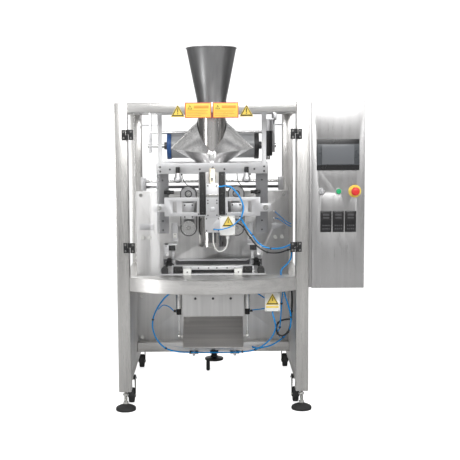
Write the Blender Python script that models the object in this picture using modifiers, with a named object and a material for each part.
"""A vertical form fill sealer: the machine that wraps film round a tube, fills it and seals each bag.

Metres, +Z up, the machine's front faces -Y. Sizes are given from the middle of the front plane of the
posts at floor level, and ORIGIN moves them so that the whole machine stands centred on the world origin.
"""

import math

import bmesh
import bpy
from mathutils import Matrix, Vector

# Driving dimensions of the frame
TUBE = 0.060
HALF_WIDTH = 0.456
DEPTH = 0.950
TOP = 1.478
LEG_LOW = 0.095
RAIL_LOW = 0.135
BEAM = 0.046
INNER = HALF_WIDTH - TUBE
GAP = 0.0003
ORIGIN = Vector((-0.1215, -0.4150, 0.0))

# The forming tube stands on this line, and every part of the bag's path is centred on it.
TUBE_Y = 0.275
TUBE_RADIUS = 0.069
TUBE_WALL = 0.002

PLATE_Y = 0.450
PLATE_THICK = 0.006
PLATE_LOW = 0.247
PLATE_HIGH = 1.034

CABINET_LEFT = 0.458
CABINET_RIGHT = 0.718
CABINET_LOW = 0.598
CABINET_DEPTH = 0.500
SHEET = 0.003

JAW_LOW = 0.655
JAW_HIGH = 0.688
JAW_HALF = 0.192
ROD_X = 0.235
ROD_Z = 0.668
ROD_RADIUS = 0.010

BELT_X = 0.119
BELT_HIGH = 1.033
BELT_LOW = 0.862
BELT_FRONT = 0.255
BELT_BACK = 0.295
PULLEY_RADIUS = 0.037
BELT_THICK = 0.004

SEGMENTS = 24


# Scene, collections and materials

def clear_scene():
    for obj in list(bpy.data.objects):
        bpy.data.objects.remove(obj)


def new_collection(name):
    made = bpy.data.collections.new(name)
    bpy.context.scene.collection.children.link(made)
    return made


def new_material(name, colour, roughness, metallic=0.0, alpha=1.0):
    made = bpy.data.materials.new(name)
    made.use_nodes = True
    shader = made.node_tree.nodes["Principled BSDF"]
    shader.inputs["Base Color"].default_value = (*colour, 1.0)
    shader.inputs["Roughness"].default_value = roughness
    shader.inputs["Metallic"].default_value = metallic
    shader.inputs["Alpha"].default_value = alpha
    return made


clear_scene()
PARTS = new_collection("vertical_form_fill_sealer")
CUTTERS = new_collection("cutters")

BRUSHED = new_material("brushed_stainless", (0.62, 0.61, 0.60), 0.32, 1.0)
POLISHED = new_material("polished_stainless", (0.66, 0.65, 0.64), 0.18, 1.0)
ALUMINIUM = new_material("light_aluminium", (0.74, 0.74, 0.75), 0.38, 0.9)
CHROME = new_material("chrome_rod", (0.80, 0.80, 0.80), 0.10, 1.0)
DARK_STEEL = new_material("dark_steel", (0.16, 0.16, 0.17), 0.40, 0.8)
BLACK = new_material("black_plastic", (0.02, 0.02, 0.022), 0.45)
RUBBER = new_material("black_rubber", (0.025, 0.025, 0.025), 0.80)
CLEAR = new_material("clear_acrylic", (0.93, 0.95, 0.96), 0.04, 0.0, 0.25)
GREEN = new_material("green_plastic", (0.02, 0.42, 0.12), 0.35)
RED = new_material("red_plastic", (0.66, 0.03, 0.02), 0.35)
WHITE = new_material("white_plastic", (0.82, 0.82, 0.80), 0.45)
BLUE = new_material("blue_hose", (0.02, 0.22, 0.62), 0.35)
FILM = new_material("film_roll", (0.72, 0.73, 0.74), 0.30)


# Solids

def place(obj, point, turn=(0.0, 0.0, 0.0)):
    """Puts an object at a point of the machine, in world coordinates."""
    obj.location = Vector(point) + ORIGIN
    obj.rotation_euler = [math.radians(angle) for angle in turn]
    return obj


def new_object(name, mesh, mat, point, turn=(0.0, 0.0, 0.0)):
    obj = bpy.data.objects.new(name, mesh)
    mesh.materials.append(mat)
    PARTS.objects.link(obj)
    return place(obj, point, turn)


def box(name, low, high, mat=BRUSHED):
    """A box between two corners, centred on its own origin."""
    low, high = Vector(low), Vector(high)
    mesh = bpy.data.meshes.new(name)
    work = bmesh.new()
    bmesh.ops.create_cube(work, size=1.0, matrix=Matrix.Diagonal((*(high - low), 1.0)))
    work.to_mesh(mesh)
    work.free()
    return new_object(name, mesh, mat, (low + high) / 2)


def mirrored_box(name, side, low, high, mat=BRUSHED):
    """A box given for the right side; side -1 puts it on the left."""
    near, far = sorted((side * low[0], side * high[0]))
    return box(name, (near, low[1], low[2]), (far, high[1], high[2]), mat)


def cylinder(name, start, end, radius, mat=BRUSHED, segments=SEGMENTS):
    """A solid cylinder between two points on one axis."""
    start, end = Vector(start), Vector(end)
    mesh = bpy.data.meshes.new(name)
    work = bmesh.new()
    turn = (end - start).to_track_quat("Z", "Y").to_matrix().to_4x4()
    bmesh.ops.create_cone(
        work, cap_ends=True, segments=segments, radius1=radius, radius2=radius,
        depth=(end - start).length, matrix=turn,
    )
    work.to_mesh(mesh)
    work.free()
    mesh.shade_smooth()
    mesh.set_sharp_from_angle(angle=math.radians(35))
    return new_object(name, mesh, mat, (start + end) / 2)


def turned(name, profile, point, mat, turn=(0.0, 0.0, 0.0), ring=False, steps=SEGMENTS):
    """A profile of (radius, height), its outer side running down, turned round the local Z axis."""
    mesh = bpy.data.meshes.new(name)
    edges = [(i, i + 1) for i in range(len(profile) - 1)]
    if ring:
        edges.append((len(profile) - 1, 0))
    mesh.from_pydata([(radius, 0.0, height) for radius, height in profile], edges, [])
    obj = new_object(name, mesh, mat, point, turn)
    screw = obj.modifiers.new("turn", "SCREW")
    screw.steps = screw.render_steps = steps
    screw.use_merge_vertices = True
    screw.merge_threshold = 0.00001
    screw.use_smooth_shade = True
    return obj


def outline(name, loops, low, high, mat, turn=(0.0, 0.0, 0.0), point=(0.0, 0.0, 0.0)):
    """Closed outlines, filled and extruded along local Z from low to high; inner loops are holes."""
    curve = bpy.data.curves.new(name, "CURVE")
    curve.dimensions = "2D"
    curve.fill_mode = "BOTH"
    curve.extrude = (high - low) / 2
    for loop in loops:
        spline = curve.splines.new("POLY")
        spline.points.add(len(loop) - 1)
        for knot, (across, along) in zip(spline.points, loop):
            knot.co = (across, along, 0.0, 1.0)
        spline.use_cyclic_u = True
    flat = bpy.data.objects.new(name + "_curve", curve)
    CUTTERS.objects.link(flat)
    graph = bpy.context.evaluated_depsgraph_get()
    mesh = bpy.data.meshes.new_from_object(flat.evaluated_get(graph))
    bpy.data.objects.remove(flat)
    work = bmesh.new()
    work.from_mesh(mesh)
    bmesh.ops.remove_doubles(work, verts=work.verts, dist=0.00001)
    bmesh.ops.translate(work, verts=work.verts, vec=(0.0, 0.0, (low + high) / 2))
    work.to_mesh(mesh)
    work.free()
    mesh.name = name
    return new_object(name, mesh, mat, point, turn)


def boolean(target, tools, operation):
    """Keeps each tool as a hidden wire that is joined to the target or cut from it."""
    for tool in tools:
        PARTS.objects.unlink(tool)
        CUTTERS.objects.link(tool)
        tool.hide_render = True
        tool.display_type = "WIRE"
        modifier = target.modifiers.new(tool.name, "BOOLEAN")
        modifier.operation = operation
        modifier.object = tool
    return target


def join(target, *tools):
    return boolean(target, tools, "UNION")


def cut(target, *tools):
    return boolean(target, tools, "DIFFERENCE")


def on_axis(name, point, *pieces):
    """An empty on a joint's axis, with the pieces that move with it as its children."""
    empty = bpy.data.objects.new(name, None)
    PARTS.objects.link(empty)
    place(empty, point)
    for piece in pieces:
        piece.parent = empty
        piece.location -= empty.location


def arc(centre, radius, start, end, count):
    """Points of an arc in a plane, with the angles in degrees."""
    steps = [math.radians(start + (end - start) * i / count) for i in range(count + 1)]
    return [(centre[0] + radius * math.cos(a), centre[1] + radius * math.sin(a)) for a in steps]


# Frame

WINDOW_LOW = 0.600
RAIL_BACK = DEPTH - TUBE
CASTER_X = 0.408
CASTER_YS = (0.160, 0.860)
WHEEL_RADIUS = 0.0375
WHEEL_HALF = 0.014
CHEEK_HALF = 0.016
CHEEK_LOW = 0.026
AXLE_HALF = 0.023
AXLE_RADIUS = 0.005
HINGE_ZS = (0.797, 1.330)
HINGE_AXIS_X = INNER
HINGE_AXIS_Y = -0.008
HINGE_HALF = 0.024
BARREL_RADIUS = 0.0055


def caster_fork(side, y):
    """Top plate, two cheeks and the wheel's axle pin, for joining to a side frame."""
    name = f"fork_{side}_{y}"
    plate = mirrored_box(name + "_plate", side, (INNER - 0.010, y - 0.038, RAIL_LOW - 0.006),
                         (CASTER_X + 0.030, y + 0.028, RAIL_LOW + 0.002))
    cheeks = [
        mirrored_box(f"{name}_cheek_{near}", side, (near, y - CHEEK_HALF, CHEEK_LOW),
                     (near + SHEET, y + CHEEK_HALF, RAIL_LOW - 0.004))
        for near in (CASTER_X - 0.0195, CASTER_X + 0.0165)
    ]
    pin = cylinder(name + "_pin", (side * (CASTER_X - AXLE_HALF), y, WHEEL_RADIUS),
                   (side * (CASTER_X + AXLE_HALF), y, WHEEL_RADIUS), AXLE_RADIUS, segments=12)
    return [plate, *cheeks, pin]


def hinge_leaf(side, z):
    """The leaf screwed to the post, with the barrel that the door turns on."""
    name = f"hinge_{side}_{z}"
    leaf = mirrored_box(name + "_leaf", side, (INNER + 0.0075, -0.0055, z - HINGE_HALF),
                        (INNER + 0.026, 0.001, z + HINGE_HALF))
    web = mirrored_box(name + "_web", side, (INNER + 0.0020, -0.0050, z - HINGE_HALF + 0.001),
                       (INNER + 0.009, 0.0005, z - 0.002))
    barrel = cylinder(name + "_barrel", (side * HINGE_AXIS_X, HINGE_AXIS_Y, z - HINGE_HALF),
                      (side * HINGE_AXIS_X, HINGE_AXIS_Y, z), BARREL_RADIUS, segments=12)
    return [leaf, web, barrel]


def side_frame(name, side):
    """Two posts, two rails, a sheet in the lower half, and what is bolted to them."""
    frame = mirrored_box(name, side, (INNER, 0.0, LEG_LOW), (HALF_WIDTH, DEPTH, TOP))
    cut(frame, mirrored_box(name + "_window", side, (0.38, TUBE, WINDOW_LOW), (0.47, RAIL_BACK, TOP - BEAM)))
    cut(frame, mirrored_box(name + "_recess", side, (INNER + 0.004, TUBE, RAIL_LOW + TUBE),
                            (0.47, RAIL_BACK, WINDOW_LOW - 0.030)))
    cut(frame, mirrored_box(name + "_leg_space", side, (0.38, TUBE, 0.0), (0.47, RAIL_BACK, RAIL_LOW)))
    for y in CASTER_YS:
        join(frame, *caster_fork(side, y))
    for z in HINGE_ZS:
        join(frame, *hinge_leaf(side, z))


def beams():
    edge = INNER - GAP
    box("top_front_beam", (-edge, 0.0, TOP - BEAM), (edge, BEAM, TOP))
    box("top_rear_beam", (-edge, DEPTH - BEAM, TOP - BEAM), (edge, DEPTH, TOP))
    box("base_rear_beam", (-edge, RAIL_BACK, RAIL_LOW), (edge, DEPTH, RAIL_LOW + TUBE))


def casters():
    names = ("front", "rear")
    for side, left_right in ((-1, "left"), (1, "right")):
        for y, front_rear in zip(CASTER_YS, names):
            bore = AXLE_RADIUS + 0.0006
            profile = [
                (WHEEL_RADIUS - 0.003, WHEEL_HALF), (WHEEL_RADIUS, WHEEL_HALF - 0.004),
                (WHEEL_RADIUS, 0.004 - WHEEL_HALF), (WHEEL_RADIUS - 0.003, -WHEEL_HALF),
                (bore, -WHEEL_HALF), (bore, WHEEL_HALF),
            ]
            turned(f"{front_rear}_{left_right}_wheel", profile, (side * CASTER_X, y, WHEEL_RADIUS), RUBBER,
                   turn=(0.0, 90.0, 0.0), ring=True)


def levelling_feet():
    profile = [
        (0.0, LEG_LOW - GAP), (0.008, LEG_LOW - GAP), (0.008, 0.082), (0.014, 0.082), (0.014, 0.072),
        (0.008, 0.072), (0.008, 0.034), (0.015, 0.030), (0.040, 0.020), (0.049, 0.012), (0.049, 0.0),
        (0.0, 0.0),
    ]
    for side, name in ((-1, "left_foot"), (1, "right_foot")):
        turned(name, profile, (side * (HALF_WIDTH - TUBE / 2), TUBE / 2, 0.0), BLACK)


# Back plate and the duct that the bags fall through

DUCT_HALF = 0.152
DUCT_FRONT = 0.190
DUCT_LOW = 0.426
DUCT_HIGH = 0.600
PUSH_ROD_RADIUS = 0.012


def back_plate():
    edge = INNER - GAP
    back = PLATE_Y + PLATE_THICK
    plate = box("back_plate", (-edge, PLATE_Y, PLATE_LOW), (edge, back, PLATE_HIGH))
    join(plate, box("duct_front", (-DUCT_HALF, DUCT_FRONT, DUCT_LOW),
                    (DUCT_HALF, DUCT_FRONT + SHEET, DUCT_HIGH)))
    for side in (-1, 1):
        join(plate, mirrored_box(f"duct_side_{side}", side, (DUCT_HALF - SHEET, DUCT_FRONT, DUCT_LOW),
                                 (DUCT_HALF, back - 0.001, DUCT_HIGH)))
        cut(plate, cylinder(f"rod_hole_{side}", (side * ROD_X, PLATE_Y - 0.02, ROD_Z),
                            (side * ROD_X, back + 0.02, ROD_Z), ROD_RADIUS + 0.002))
    cut(plate, cylinder("push_rod_hole", (0.0, PLATE_Y - 0.02, ROD_Z), (0.0, back + 0.02, ROD_Z),
                        PUSH_ROD_RADIUS + 0.002))


# Curved tray under the doors

TRAY_BULGE = 0.120
TRAY_LOW = 0.588
TRAY_HIGH = 0.655
TRAY_BACK = 0.055


def tray():
    half = INNER - GAP
    radius = (half ** 2 + TRAY_BULGE ** 2) / (2 * TRAY_BULGE)
    centre = (0.0, radius - TRAY_BULGE)
    swing = math.degrees(math.asin(half / radius))
    front = arc(centre, radius, 270 - swing, 270 + swing, 24)
    shell = outline("tray", [front + [(half, TRAY_BACK), (-half, TRAY_BACK)]], TRAY_LOW, TRAY_HIGH, BRUSHED)
    inner = arc(centre, radius - SHEET, 270 - swing - 4, 270 + swing + 4, 24)
    behind = TRAY_BACK + 0.02
    hollow = outline("tray_hollow", [inner + [(inner[-1][0], behind), (inner[0][0], behind)]],
                     TRAY_LOW - 0.01, TRAY_HIGH - SHEET, BRUSHED)
    cut(shell, hollow)


# Clear curved doors

DOOR_BULGE = 0.118
DOOR_THICK = 0.004
DOOR_LOW = 0.660
DOOR_HIGH = 1.428
FLANGE_OUT = 0.389
FLANGE_IN = 0.366
FLANGE_Y = -0.008
DOOR_GAP = 0.002


def door(name, side, axis_name):
    """A flat flange beside the post, then a bend into half of a shallow cylinder."""
    sag = DOOR_BULGE + FLANGE_Y
    radius = (FLANGE_IN ** 2 + sag ** 2) / (2 * sag)
    centre = (0.0, FLANGE_Y - sag + radius)
    swing = math.degrees(math.asin(FLANGE_IN / radius))
    middle = math.degrees(math.asin(DOOR_GAP / radius))
    outer = arc(centre, radius, 270 + middle, 270 + swing, 12) + [(FLANGE_OUT, FLANGE_Y)]
    inner = arc(centre, radius - DOOR_THICK, 270 + middle, 270 + swing, 12)
    inner = inner + [(FLANGE_OUT, FLANGE_Y + DOOR_THICK)]
    loop = [(side * x, y) for x, y in outer + inner[::-1]]
    sheet = outline(name, [loop], DOOR_LOW, DOOR_HIGH, CLEAR)
    for z in HINGE_ZS:
        join(sheet, mirrored_box(f"{name}_leaf_{z}", side,
                                 (FLANGE_IN + 0.001, FLANGE_Y - 0.0055, z - HINGE_HALF),
                                 (HINGE_AXIS_X - 0.006, FLANGE_Y + 0.001, z + HINGE_HALF)))
        join(sheet, cylinder(f"{name}_barrel_{z}", (side * HINGE_AXIS_X, HINGE_AXIS_Y, z + 0.0005),
                             (side * HINGE_AXIS_X, HINGE_AXIS_Y, z + HINGE_HALF), BARREL_RADIUS,
                             segments=12))
        join(sheet, mirrored_box(f"{name}_web_{z}", side, (FLANGE_OUT - 0.004, FLANGE_Y - 0.003, z + 0.0015),
                                 (HINGE_AXIS_X - 0.002, FLANGE_Y + 0.0005, z + HINGE_HALF)))
    on_axis(axis_name, (side * HINGE_AXIS_X, HINGE_AXIS_Y, DOOR_LOW), sheet)


# Electrical cabinet and its controls

PANEL_X = (0.491, 0.691)
PANEL_Z = (1.158, 1.304)
BUTTON_Z = 1.059
KEY_X, START_X, STOP_X = 0.515, 0.595, 0.671
CONTROLLER_XS = (0.536, 0.594, 0.652)
CONTROLLER_HALF = 0.024
CONTROLLER_Z = (0.868, 0.964)
DOOR_SKIN = 0.0025
DOOR_LEFT = CABINET_LEFT + 0.012
DOOR_BACK = 0.020
FLANGE_WIDTH = 0.024
PANEL_RIM = 0.009
BUTTON_HOLE = 0.0112
STEM_REACH = 0.026
CABINET_AXIS = (CABINET_RIGHT - 0.0005, -0.002, (CABINET_LOW + TOP) / 2)


def cabinet():
    left, right, back = CABINET_LEFT, CABINET_RIGHT, CABINET_DEPTH
    body = box("cabinet_box", (left, DOOR_BACK + 0.0025, CABINET_LOW), (right, back, TOP))
    cut(body, box("cabinet_hollow", (left + SHEET, 0.0, CABINET_LOW + SHEET),
                  (right - SHEET, back - SHEET, TOP - SHEET)))
    join(body, box("cabinet_flange", (left, DOOR_BACK + 0.0025, CABINET_LOW),
                   (left + FLANGE_WIDTH, DOOR_BACK + 0.0025 + SHEET, TOP)))
    skin = box("cabinet_door", (DOOR_LEFT, 0.0, CABINET_LOW), (right, DOOR_BACK, TOP))
    cut(skin, box("door_hollow", (DOOR_LEFT + SHEET, DOOR_SKIN, CABINET_LOW + SHEET),
                  (right - SHEET, DOOR_BACK + 0.01, TOP - SHEET)))
    cut(skin, box("panel_cutout", (PANEL_X[0] + PANEL_RIM, -0.01, PANEL_Z[0] + PANEL_RIM),
                  (PANEL_X[1] - PANEL_RIM, 0.01, PANEL_Z[1] - PANEL_RIM)))
    for x in CONTROLLER_XS:
        cut(skin, box(f"controller_cutout_{x}", (x - 0.0225, -0.01, CONTROLLER_Z[0] + 0.002),
                      (x + 0.0225, 0.01, CONTROLLER_Z[1] - 0.002)))
    for x in (KEY_X, START_X, STOP_X):
        cut(skin, cylinder(f"button_hole_{x}", (x, -0.01, BUTTON_Z), (x, 0.01, BUTTON_Z), BUTTON_HOLE))
    return skin


def touch_panel():
    panel = box("touch_panel", (PANEL_X[0], -0.0065, PANEL_Z[0]), (PANEL_X[1], -GAP, PANEL_Z[1]), BLACK)
    rim = PANEL_RIM + 0.001
    return join(panel, box("panel_body", (PANEL_X[0] + rim, -0.003, PANEL_Z[0] + rim),
                           (PANEL_X[1] - rim, 0.038, PANEL_Z[1] - rim)))


def controllers():
    """Three equal temperature controllers, held by one mounting bar behind the door."""
    bar = box("temperature_controllers", (CONTROLLER_XS[0] - 0.02, 0.040, 0.905),
              (CONTROLLER_XS[-1] + 0.02, 0.046, 0.925), BLACK)
    for x in CONTROLLER_XS:
        join(bar, box(f"controller_face_{x}", (x - CONTROLLER_HALF, -0.008, CONTROLLER_Z[0]),
                      (x + CONTROLLER_HALF, -GAP, CONTROLLER_Z[1])))
        join(bar, box(f"controller_body_{x}", (x - 0.0215, -0.004, CONTROLLER_Z[0] + 0.003),
                      (x + 0.0215, 0.042, CONTROLLER_Z[1] - 0.003)))
    return bar


def push_button(name, x, cap, stem_radius, mat):
    """A cap in front of the door, as (radius, height), and a stem through the hole to its switch."""
    profile = [*cap, (stem_radius, 0.0008), (stem_radius, -STEM_REACH), (0.0, -STEM_REACH)]
    return turned(name, profile, (x, -GAP, BUTTON_Z), mat, turn=(90.0, 0.0, 0.0))


def controls(skin):
    bezel = [(0.0, 0.013), (0.0125, 0.013), (0.0145, 0.010), (0.0145, 0.0008)]
    key = push_button("key_switch", KEY_X, bezel, 0.0100, POLISHED)
    join(key, box("key_lever", (KEY_X - 0.003, -0.024, BUTTON_Z - 0.010),
                  (KEY_X + 0.003, -0.010, BUTTON_Z + 0.010)))
    cap = [(0.0, 0.0125), (0.0110, 0.0125), (0.0125, 0.0110), (0.0125, 0.0058), (0.0105, 0.0058)]
    start = push_button("start_button", START_X, cap, 0.0105, GREEN)
    mushroom = [
        (0.0, 0.034), (0.012, 0.033), (0.0185, 0.029), (0.020, 0.024), (0.0185, 0.018), (0.0105, 0.014),
    ]
    stop = push_button("emergency_stop", STOP_X, mushroom, 0.0105, RED)
    fixed = [skin, touch_panel(), controllers()]
    on_axis("cabinet_door_axis", CABINET_AXIS, *fixed)
    for piece, x in ((key, KEY_X), (start, START_X), (stop, STOP_X)):
        on_axis(piece.name + "_axis", (x, 0.0, BUTTON_Z), piece)


# Hopper, forming tube, shoulder and the frame that hangs them from the side rails

HOPPER_RIM = 0.1265
HOPPER_TOP = 1.752
NECK_TOP = 1.492
NECK_LOW = 1.462
FORMING_TOP = 1.472
FORMING_LOW = 0.770


def hopper():
    neck = TUBE_RADIUS + 0.0010
    wall = 0.002
    profile = [
        (HOPPER_RIM, HOPPER_TOP), (HOPPER_RIM, HOPPER_TOP - 0.006), (HOPPER_RIM - wall, HOPPER_TOP - 0.006),
        (neck + wall, NECK_TOP), (neck + wall, NECK_LOW), (neck, NECK_LOW), (neck, NECK_TOP),
        (HOPPER_RIM - 2 * wall, HOPPER_TOP),
    ]
    turned("hopper", profile, (0.0, TUBE_Y, 0.0), BRUSHED, ring=True, steps=36)


def forming_tube():
    inner = TUBE_RADIUS - TUBE_WALL
    profile = [
        (TUBE_RADIUS, FORMING_TOP), (TUBE_RADIUS, FORMING_LOW), (inner, FORMING_LOW), (inner, FORMING_TOP),
    ]
    turned("forming_tube", profile, (0.0, TUBE_Y, 0.0), POLISHED, ring=True, steps=36)


SHOULDER_FRONT = 1.240
SHOULDER_RISE = 0.210
SHOULDER_BASE = 1.1905
SHOULDER_TIP = (0.205, 1.262)
SHOULDER_BACK = 0.170
SHOULDER_STEPS = 40


def shoulder_section(turn):
    """Three points of the shoulder at one angle round the tube, measured from its front."""
    lift = math.sin(turn / 2)
    across, along = math.sin(turn), -math.cos(turn)
    inner = TUBE_RADIUS + 0.0045
    width = inner + (SHOULDER_TIP[0] - inner) * abs(across) ** 1.5
    if along > 0:
        width = max(width, inner + (SHOULDER_BACK - inner) * along ** 0.8)
    rim = max(width, inner + 0.004)
    edge = SHOULDER_FRONT + SHOULDER_RISE * abs(lift) ** 1.15
    droop = SHOULDER_FRONT - 0.012 + (SHOULDER_TIP[1] - SHOULDER_FRONT + 0.012) * min(1.0, abs(lift) * 1.4)
    spots = ((inner, edge), (rim, droop), (inner + 0.001, SHOULDER_BASE))
    return [(across * radius, along * radius, z) for radius, z in spots]


def shoulder():
    """The film folds over this collar: two sheets lofted round the tube, given a wall by Solidify."""
    count = SHOULDER_STEPS
    points = []
    for i in range(count):
        points += shoulder_section(2 * math.pi * i / count)
    faces = []
    for i in range(count):
        here, ahead = 3 * i, 3 * ((i + 1) % count)
        for row in (0, 1):
            faces.append((here + row, here + row + 1, ahead + row + 1, ahead + row))
    mesh = bpy.data.meshes.new("forming_shoulder")
    mesh.from_pydata(points, [], faces)
    collar = new_object("forming_shoulder", mesh, POLISHED, (0.0, TUBE_Y, 0.0))
    wall = collar.modifiers.new("wall", "SOLIDIFY")
    wall.thickness = 0.002
    wall.offset = -1.0


HANGER_BAR = (0.242, 0.263)
HANGER_Y = (0.150, 0.170)
HANGER_PLATE = (1.178, 1.190)
HANGER_FLANGE_LOW = 1.138
HANGER_HALF = 0.272
COLUMN_X = (0.214, 0.273)
COLUMN_Y = (0.190, 0.202)
COLUMN_LOW = 0.843


def hanger_frame():
    """Cross bar, two hanging bars, the plate under the shoulder and two columns for the sealing gear."""
    edge = INNER - GAP
    bar_top = TOP - 0.006
    frame = box("hanger_frame", (-edge, HANGER_Y[0], bar_top - 0.034),
                (edge, HANGER_Y[1] + 0.020, bar_top), ALUMINIUM)
    join(frame, box("hanger_plate", (-HANGER_HALF, HANGER_Y[0], HANGER_PLATE[0]),
                    (HANGER_HALF, 0.390, HANGER_PLATE[1])))
    join(frame, box("hanger_flange", (-HANGER_HALF, HANGER_Y[0], HANGER_FLANGE_LOW),
                    (HANGER_HALF, 0.156, HANGER_PLATE[1] - 0.001)))
    for side in (-1, 1):
        join(frame, mirrored_box(f"hanger_bar_{side}", side,
                                 (HANGER_BAR[0], HANGER_Y[0], HANGER_PLATE[0] + 0.001),
                                 (HANGER_BAR[1], HANGER_Y[1], bar_top - 0.01)))
        join(frame, mirrored_box(f"column_{side}", side, (COLUMN_X[0], COLUMN_Y[0], COLUMN_LOW),
                                 (COLUMN_X[1], COLUMN_Y[1], HANGER_PLATE[0] + 0.002)))
    cut(frame, cylinder("tube_hole", (0.0, TUBE_Y, 1.10), (0.0, TUBE_Y, 1.25), TUBE_RADIUS + 0.003,
                        segments=36))


# Vertical sealer in front of the tube

SEALER_Y = (0.110, 0.122)
SEALER_Z = (0.935, 1.026)
SEALER_HALF = 0.232
BOSS_X = 0.258
BOSS_Z = 0.9755
WINDOWS = ((0.075, 0.148), (0.173, 0.191))
WINDOW_Z = (0.953, 1.007)
STEM_BORE = 0.0072
STEM_ZS = (0.960, 1.060)
BLOCK_Y = (0.078, 0.1095)


def sealer_bracket():
    """A plate with windows, two ears with bosses on the columns, and two black guide rails in front."""
    front, back = SEALER_Y
    plate = box("sealer_bracket", (-SEALER_HALF, front, SEALER_Z[0]),
                (SEALER_HALF, back, SEALER_Z[1]), ALUMINIUM)
    join(plate, box("sealer_mast", (-0.064, front, 0.945), (0.064, back, 1.147)))
    for side in (-1, 1):
        join(plate, mirrored_box(f"ear_{side}", side, (SEALER_HALF - 0.002, front, 0.956),
                                 (0.284, back, 0.995)))
        join(plate, cylinder(f"boss_{side}", (side * BOSS_X, front - 0.006, BOSS_Z),
                             (side * BOSS_X, COLUMN_Y[0] - GAP, BOSS_Z), 0.013))
        join(plate, mirrored_box(f"rail_{side}", side, (0.032, 0.088, 0.943),
                                 (0.062, front + 0.001, 1.149)))
        for near, far in WINDOWS:
            cut(plate, mirrored_box(f"window_{side}_{near}", side, (near, front - 0.02, WINDOW_Z[0]),
                                    (far, back + 0.01, WINDOW_Z[1])))
    for z in STEM_ZS:
        cut(plate, cylinder(f"plate_bore_{z}", (0.0, front - 0.01, z), (0.0, back + 0.01, z), STEM_BORE,
                            segments=16))


def sealer_cylinder():
    """The air cylinder that presses the seal bar on the film: two square blocks, one above the other."""
    front, back = BLOCK_Y
    block = box("sealer_cylinder", (-0.030, front, 0.932), (0.030, back, 1.095), ALUMINIUM)
    join(block, box("lower_block", (-0.036, front + 0.004, 0.858), (0.036, back + 0.012, 0.9335)))
    join(block, box("top_valve", (-0.013, front + 0.010, 1.090), (0.013, back - 0.004, 1.166)))
    for z in STEM_ZS:
        cut(block, cylinder(f"block_bore_{z}", (0.0, front + 0.004, z), (0.0, back + 0.02, z), STEM_BORE,
                            segments=16))


def seal_bar():
    bar = box("seal_bar", (-0.018, 0.150, 0.800), (0.018, 0.186, 1.110), DARK_STEEL)
    for z in STEM_ZS:
        join(bar, cylinder(f"stem_{z}", (0.0, 0.084, z), (0.0, 0.155, z), 0.0060, segments=16))
    on_axis("seal_bar_axis", (0.0, 0.150, BOSS_Z), bar)


# Film pull belts beside the tube

def racetrack(radius):
    """Two half circles about the pulleys, joined by straight sides."""
    upper = arc((0.0, BELT_HIGH), radius, 0, 180, 14)
    lower = arc((0.0, BELT_LOW), radius, 180, 360, 14)
    return upper + lower


def pull_belt(name, side):
    x = side * BELT_X
    ring = [racetrack(PULLEY_RADIUS + GAP + BELT_THICK), racetrack(PULLEY_RADIUS + GAP)]
    belt = outline(f"{name}_belt", ring, -BELT_BACK, -BELT_FRONT, RUBBER, turn=(90.0, 0.0, 0.0),
                   point=(x, 0.0, 0.0))
    arm = box(f"{name}_belt_arm", (x - 0.026, BELT_BACK + 0.0015, 0.832), (x + 0.026, 0.308, 1.063),
              ALUMINIUM)
    join(arm, box(f"{name}_cheek", (x - 0.028, 0.257, 0.908), (x + 0.028, 0.300, 0.987)))
    join(arm, box(f"{name}_mount", (x - 0.020, 0.305, 0.925), (x + 0.020, PLATE_Y - 0.002, 0.970)))
    pulleys = []
    for place_name, z in (("upper", BELT_HIGH), ("lower", BELT_LOW)):
        join(arm, cylinder(f"{name}_{place_name}_pin", (x, BELT_FRONT - 0.0005, z), (x, 0.302, z), 0.0060,
                           segments=16))
        half = (BELT_BACK - BELT_FRONT) / 2 - 0.0005
        profile = [
            (PULLEY_RADIUS, half), (PULLEY_RADIUS, -half), (0.0066, -half), (0.0066, half - 0.003),
            (0.016, half - 0.003), (0.020, half),
        ]
        middle = (x, (BELT_FRONT + BELT_BACK) / 2, z)
        pulley = turned(f"{name}_{place_name}_pulley", profile, middle, ALUMINIUM, turn=(90.0, 0.0, 0.0),
                        ring=True)
        pulleys.append(pulley)
    on_axis(f"{name}_belt_axis", (x, BELT_BACK, 0.9475), belt, arm)
    for pulley, z in zip(pulleys, (BELT_HIGH, BELT_LOW)):
        on_axis(pulley.name + "_axis", (x, BELT_FRONT, z), pulley)


# Horizontal sealing jaws, their rods and the knife

FRONT_JAW_Y = (0.141, 0.186)
REAR_JAW_Y = (0.364, 0.408)
ROD_BACK = 0.780
ARCH_Z = 0.672
ARCH_RADIUS = 0.0164


def jaw_carriage():
    """The front jaw's shelf, its two rods through the back plate and the tie plate behind."""
    shelf = box("jaw_carriage", (-0.258, 0.103, 0.638), (0.258, 0.186, JAW_LOW - GAP), ALUMINIUM)
    join(shelf, box("rod_tie", (-0.258, ROD_BACK, 0.645), (0.258, ROD_BACK + 0.015, 0.691)))
    for side in (-1, 1):
        join(shelf, mirrored_box(f"rod_block_{side}", side, (0.218, 0.108, 0.640),
                                 (0.252, 0.140, ARCH_Z)))
        join(shelf, cylinder(f"rod_arch_{side}", (side * ROD_X, 0.1085, ARCH_Z),
                             (side * ROD_X, 0.1395, ARCH_Z), ARCH_RADIUS))
        join(shelf, cylinder(f"rod_{side}", (side * ROD_X, 0.12, ROD_Z),
                             (side * ROD_X, ROD_BACK + 0.005, ROD_Z), ROD_RADIUS, segments=16))
    return shelf


def front_jaw():
    """A bar with a slot for the knife, open towards the film."""
    front, back = FRONT_JAW_Y
    bar = box("front_jaw", (-JAW_HALF, front, JAW_LOW), (JAW_HALF, back, JAW_HIGH), DARK_STEEL)
    cut(bar, box("knife_slot", (-0.166, front + 0.010, 0.6745), (0.166, back + 0.01, 0.6795)))
    return bar


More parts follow.
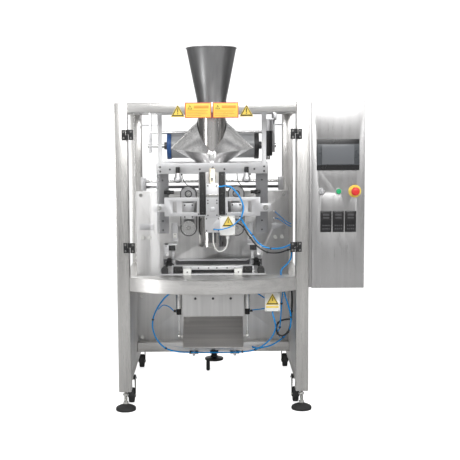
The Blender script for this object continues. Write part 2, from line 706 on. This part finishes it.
def knife():
    blade = box("knife", (-0.164, FRONT_JAW_Y[0] + 0.012, 0.6755), (0.164, FRONT_JAW_Y[1] - 0.003, 0.6785),
                POLISHED)
    on_axis("knife_axis", (0.0, FRONT_JAW_Y[0], 0.677), blade)


def rear_jaw():
    """The jaw's bar, a crosshead that slides on the rods, and the push rod that works it."""
    front, back = REAR_JAW_Y
    bar = box("rear_jaw", (-0.188, front, JAW_LOW), (0.188, back, JAW_HIGH), DARK_STEEL)
    join(bar, box("crosshead", (-0.254, 0.400, 0.650), (0.254, 0.424, 0.686)))
    join(bar, cylinder("push_rod", (0.0, 0.41, ROD_Z), (0.0, 0.560, ROD_Z), PUSH_ROD_RADIUS))
    for side in (-1, 1):
        cut(bar, cylinder(f"crosshead_bore_{side}", (side * ROD_X, 0.38, ROD_Z),
                          (side * ROD_X, 0.44, ROD_Z), ROD_RADIUS + 0.001))
    cut(bar, box("blade_slot", (-0.170, front - 0.010, 0.6735), (0.170, front + 0.014, 0.6805)))
    return bar


def jaws():
    on_axis("front_jaw_axis", (0.0, FRONT_JAW_Y[1], ROD_Z), jaw_carriage(), front_jaw())
    on_axis("rear_jaw_axis", (0.0, REAR_JAW_Y[0], ROD_Z), rear_jaw())
    knife()


def jaw_drive():
    """A cylinder body on the back plate's rear face, hollow for the rear jaw's push rod."""
    back = PLATE_Y + PLATE_THICK + GAP
    body = box("jaw_drive", (-0.045, back, ROD_Z - 0.045), (0.045, back + 0.200, ROD_Z + 0.045), ALUMINIUM)
    cut(body, cylinder("drive_bore", (0.0, back - 0.01, ROD_Z), (0.0, back + 0.150, ROD_Z),
                       PUSH_ROD_RADIUS + 0.002))


# Film reel and its cradle at the rear

FILM_Y = 0.780
FILM_Z = 1.262
SHAFT_HALF = 0.352
CRADLE_X = (0.330, 0.340)
TIE_Z = 1.335
TIE_Y = 0.715


def film_reel():
    shaft, roll, flange = 0.0125, 0.068, 0.074
    profile = [
        (0.0, SHAFT_HALF), (shaft, SHAFT_HALF), (shaft, 0.256), (flange, 0.256), (flange, 0.232),
        (roll, 0.232), (roll, -0.222), (flange, -0.222), (flange, -0.245), (shaft, -0.245),
        (shaft, -SHAFT_HALF), (0.0, -SHAFT_HALF),
    ]
    reel = turned("film_reel", profile, (0.0, FILM_Y, FILM_Z), FILM, turn=(0.0, 90.0, 0.0), steps=28)
    on_axis("film_reel_axis", (0.0, FILM_Y, FILM_Z), reel)


def film_cradle():
    """A cross bar on the side rails, two bearing plates and the guide rod that the film runs over."""
    edge = INNER - GAP
    cradle = box("film_cradle", (-edge, FILM_Y - 0.020, TOP - 0.040), (edge, FILM_Y + 0.020, TOP - 0.004),
                 ALUMINIUM)
    for side in (-1, 1):
        join(cradle, mirrored_box(f"bearing_plate_{side}", side, (CRADLE_X[0], TIE_Y - 0.020, 1.225),
                                  (CRADLE_X[1], FILM_Y + 0.035, TOP - 0.030)))
    join(cradle, cylinder("guide_rod", (-0.335, TIE_Y, TIE_Z), (0.335, TIE_Y, TIE_Z), 0.008, segments=16))
    cut(cradle, cylinder("shaft_bores", (-0.36, FILM_Y, FILM_Z), (0.36, FILM_Y, FILM_Z), 0.0140))


# Discharge chute with its two air cylinders

CHUTE_HINGE = (0.430, 0.402)
CHUTE_SLOPE = 28.0
CHUTE_LENGTH = 0.285
CYLINDER_X = 0.172
CYLINDER_Y = 0.245
CYLINDER_Z = (0.426, 0.560)
ARM_Z = 0.580
EYE_Z = 0.316


def chute():
    """A shallow trough below the duct that slopes down to the front."""
    half = DUCT_HALF
    depth = 0.020
    trough = box("discharge_chute", (-half, 0.0, 0.0), (half, CHUTE_LENGTH, depth))
    trough.data.transform(Matrix.Translation((0.0, -CHUTE_LENGTH / 2, depth / 2)))
    y, z = CHUTE_HINGE
    place(trough, (0.0, y, z), (CHUTE_SLOPE, 0.0, 0.0))
    hollow = box("chute_hollow", (-half + SHEET, 0.0, 0.0), (half - SHEET, CHUTE_LENGTH + 0.1, depth))
    hollow.data.transform(Matrix.Translation((0.0, -CHUTE_LENGTH / 2, depth / 2 + SHEET)))
    place(hollow, (0.0, y, z), (CHUTE_SLOPE, 0.0, 0.0))
    cut(trough, hollow)
    for side in (-1, 1):
        join(trough, cylinder(f"chute_pin_{side}", (side * (half - 0.002), CYLINDER_Y, EYE_Z),
                              (side * 0.1645, CYLINDER_Y, EYE_Z), 0.004, segments=12))
    on_axis("chute_axis", (0.0, y, z), trough)


def air_cylinders():
    for side, name in ((-1, "left"), (1, "right")):
        x = side * CYLINDER_X
        low, high = CYLINDER_Z
        profile = [
            (0.0, high), (0.015, high), (0.015, low + 0.030), (0.0125, low + 0.028), (0.0125, low),
            (0.0052, low), (0.0052, low + 0.100), (0.0, low + 0.100),
        ]
        barrel = turned(f"{name}_air_cylinder", profile, (x, CYLINDER_Y, 0.0), ALUMINIUM)
        join(barrel, mirrored_box(f"{name}_cylinder_lug", side,
                                  (CYLINDER_X - 0.010, CYLINDER_Y - 0.006, high - 0.010),
                                  (CYLINDER_X + 0.010, CYLINDER_Y + 0.006, ARM_Z + 0.010)))
        join(barrel, mirrored_box(f"{name}_cylinder_arm", side,
                                  (CYLINDER_X - 0.010, CYLINDER_Y - 0.006, ARM_Z),
                                  (CYLINDER_X + 0.010, PLATE_Y - GAP, ARM_Z + 0.012)))
        rod = cylinder(f"{name}_cylinder_rod", (x, CYLINDER_Y, EYE_Z), (x, CYLINDER_Y, low + 0.015),
                       0.0045, CHROME, 12)
        join(rod, box(f"{name}_eye", (x - 0.007, CYLINDER_Y - 0.009, EYE_Z - 0.012),
                      (x + 0.007, CYLINDER_Y + 0.009, EYE_Z + 0.016)))
        on_axis(f"{name}_rod_axis", (x, CYLINDER_Y, low), rod)


# Cross beam under the back plate, with the handwheel below it

CROSS_FRONT = 0.402
CROSS_LOW = 0.197
CLAMP_XS = (-0.102, 0.112)
WHEEL_X = 0.004
WHEEL_Y = 0.420
HANDWHEEL_Z = 0.151
CRANK_X = -0.028
GRIP_Z = 0.0925


def cross_beam():
    edge = INNER - GAP
    beam = box("cross_beam", (-edge, CROSS_FRONT, CROSS_LOW), (edge, PLATE_Y - 0.003, PLATE_LOW - GAP))
    for x in CLAMP_XS:
        join(beam, box(f"clamp_{x}", (x - 0.018, CROSS_FRONT + 0.004, CROSS_LOW - 0.010),
                       (x + 0.018, CROSS_FRONT + 0.036, CROSS_LOW + 0.002)))
        join(beam, cylinder(f"clamp_stud_{x}", (x, WHEEL_Y, CROSS_LOW - 0.022),
                            (x, WHEEL_Y, CROSS_LOW + 0.004), 0.007, segments=12))
    profile = [
        (0.0, 0.0455), (0.012, 0.0455), (0.014, 0.030), (0.020, 0.016), (0.038, 0.012), (0.048, 0.010),
        (0.048, 0.0), (0.0, 0.0),
    ]
    wheel = turned("handwheel", profile, (WHEEL_X, WHEEL_Y, HANDWHEEL_Z), BLACK)
    join(wheel, cylinder("crank_pin", (CRANK_X, WHEEL_Y, GRIP_Z - 0.0005),
                         (CRANK_X, WHEEL_Y, HANDWHEEL_Z + 0.004), 0.0035, segments=12))
    grip = [
        (0.009, 0.056), (0.010, 0.040), (0.010, 0.006), (0.008, 0.0), (0.0040, 0.0), (0.0040, 0.056),
    ]
    handle = turned("crank_handle", grip, (CRANK_X, WHEEL_Y, GRIP_Z), BLACK, ring=True, steps=16)
    on_axis("handwheel_axis", (WHEEL_X, WHEEL_Y, HANDWHEEL_Z), wheel)
    on_axis("crank_axis", (CRANK_X, WHEEL_Y, GRIP_Z), handle)


# Junction boxes

def junction_boxes():
    upper = box("junction_box", (0.0370, 0.086, 0.846), (0.107, 0.122, 0.9340), WHITE)
    join(upper, cylinder("junction_gland", (0.073, 0.103, 0.826), (0.073, 0.103, 0.850), 0.009, segments=16))
    lower = box("electric_box", (0.250, 0.012, 0.487), (0.318, 0.052, 0.578), WHITE)
    join(lower, box("box_strap", (0.272, 0.026, 0.570), (0.300, 0.032, TRAY_HIGH - SHEET - GAP)))


# Air hoses and cables

def smooth_route(points, spacing):
    """A Catmull-Rom curve through the route's points, sampled at about one spacing."""
    knots = [Vector(point) for point in points]
    knots = [2 * knots[0] - knots[1], *knots, 2 * knots[-1] - knots[-2]]
    route = []
    for before, here, ahead, beyond in zip(knots, knots[1:], knots[2:], knots[3:]):
        count = max(1, round((ahead - here).length / spacing))
        for i in range(count):
            t = i / count
            route.append(0.5 * (2 * here + (ahead - before) * t
                                + (2 * before - 5 * here + 4 * ahead - beyond) * t ** 2
                                + (3 * here - before - 3 * ahead + beyond) * t ** 3))
    return [*route, knots[-2]]


def hose(name, points, diameter, mat, spacing=3.0):
    route = smooth_route(points, spacing * diameter)
    curve = bpy.data.curves.new(name, "CURVE")
    curve.dimensions = "3D"
    curve.bevel_depth = diameter / 2
    curve.bevel_resolution = 2
    curve.use_fill_caps = True
    curve.materials.append(mat)
    spline = curve.splines.new("POLY")
    spline.points.add(len(route) - 1)
    for knot, point in zip(spline.points, route):
        knot.co = (*point, 1.0)
    tube = bpy.data.objects.new(name, curve)
    PARTS.objects.link(tube)
    place(tube, (0.0, 0.0, 0.0))


UPPER_HOSE = [
    (0.0304, 0.0830, 1.080), (0.046, 0.083, 1.080), (0.066, 0.073, 1.084), (0.096, 0.062, 1.074),
    (0.134, 0.058, 1.025), (0.149, 0.060, 0.978), (0.140, 0.066, 0.930), (0.158, 0.068, 0.892),
    (0.190, 0.066, 0.848), (0.228, 0.060, 0.802), (0.278, 0.052, 0.783), (0.335, 0.040, 0.788),
    (0.378, 0.034, 0.806), (0.3955, 0.034, 0.806),
]
SENSOR_CABLE = [
    (0.1074, 0.104, 0.900), (0.120, 0.104, 0.900), (0.138, 0.092, 0.893), (0.155, 0.084, 0.872),
    (0.182, 0.078, 0.832), (0.215, 0.070, 0.792), (0.262, 0.060, 0.764), (0.315, 0.052, 0.762),
    (0.360, 0.046, 0.776), (0.382, 0.046, 0.782), (0.3955, 0.046, 0.782),
]
HEATER_CABLE = [
    (0.073, 0.103, 0.8256), (0.073, 0.103, 0.810), (0.065, 0.101, 0.782), (0.048, 0.098, 0.766),
    (0.029, 0.096, 0.764), (0.013, 0.096, 0.780), (0.004, 0.097, 0.806), (0.003, 0.098, 0.838),
    (0.003, 0.098, 0.8576),
]
LOWER_HOSE = [
    (-0.1875, 0.245, 0.540), (-0.202, 0.245, 0.540), (-0.240, 0.232, 0.516), (-0.280, 0.222, 0.462),
    (-0.302, 0.230, 0.405), (-0.303, 0.250, 0.345), (-0.284, 0.285, 0.285), (-0.245, 0.325, 0.235),
    (-0.190, 0.355, 0.210), (-0.120, 0.368, 0.202), (-0.040, 0.372, 0.200), (0.060, 0.370, 0.200),
    (0.150, 0.355, 0.206), (0.215, 0.310, 0.228), (0.262, 0.235, 0.275), (0.292, 0.155, 0.330),
    (0.304, 0.090, 0.388), (0.296, 0.045, 0.435), (0.287, 0.032, 0.468), (0.287, 0.032, 0.4865),
]
RIGHT_HOSE = [
    (0.336, 0.040, 0.6515), (0.336, 0.040, 0.632), (0.342, 0.050, 0.575), (0.362, 0.075, 0.510),
    (0.380, 0.105, 0.440), (0.378, 0.150, 0.370), (0.350, 0.220, 0.310), (0.300, 0.310, 0.252),
    (0.240, 0.372, 0.222), (0.205, 0.384, 0.222), (0.205, 0.4016, 0.222),
]


def hoses():
    hose("upper_air_hose", UPPER_HOSE, 0.008, BLUE)
    hose("sensor_cable", SENSOR_CABLE, 0.007, BLACK)
    hose("heater_cable", HEATER_CABLE, 0.006, WHITE)
    hose("lower_air_hose", LOWER_HOSE, 0.008, BLUE, spacing=4.0)
    hose("right_air_hose", RIGHT_HOSE, 0.008, BLUE, spacing=4.0)


side_frame("left_side_frame", -1)
side_frame("right_side_frame", 1)
beams()
casters()
levelling_feet()
back_plate()
tray()
door("left_door", -1, "left_door_axis")
door("right_door", 1, "right_door_axis")
controls(cabinet())
hopper()
forming_tube()
shoulder()
hanger_frame()
sealer_bracket()
sealer_cylinder()
seal_bar()
pull_belt("left", -1)
pull_belt("right", 1)
jaws()
jaw_drive()
film_reel()
film_cradle()
chute()
air_cylinders()
cross_beam()
junction_boxes()
hoses()
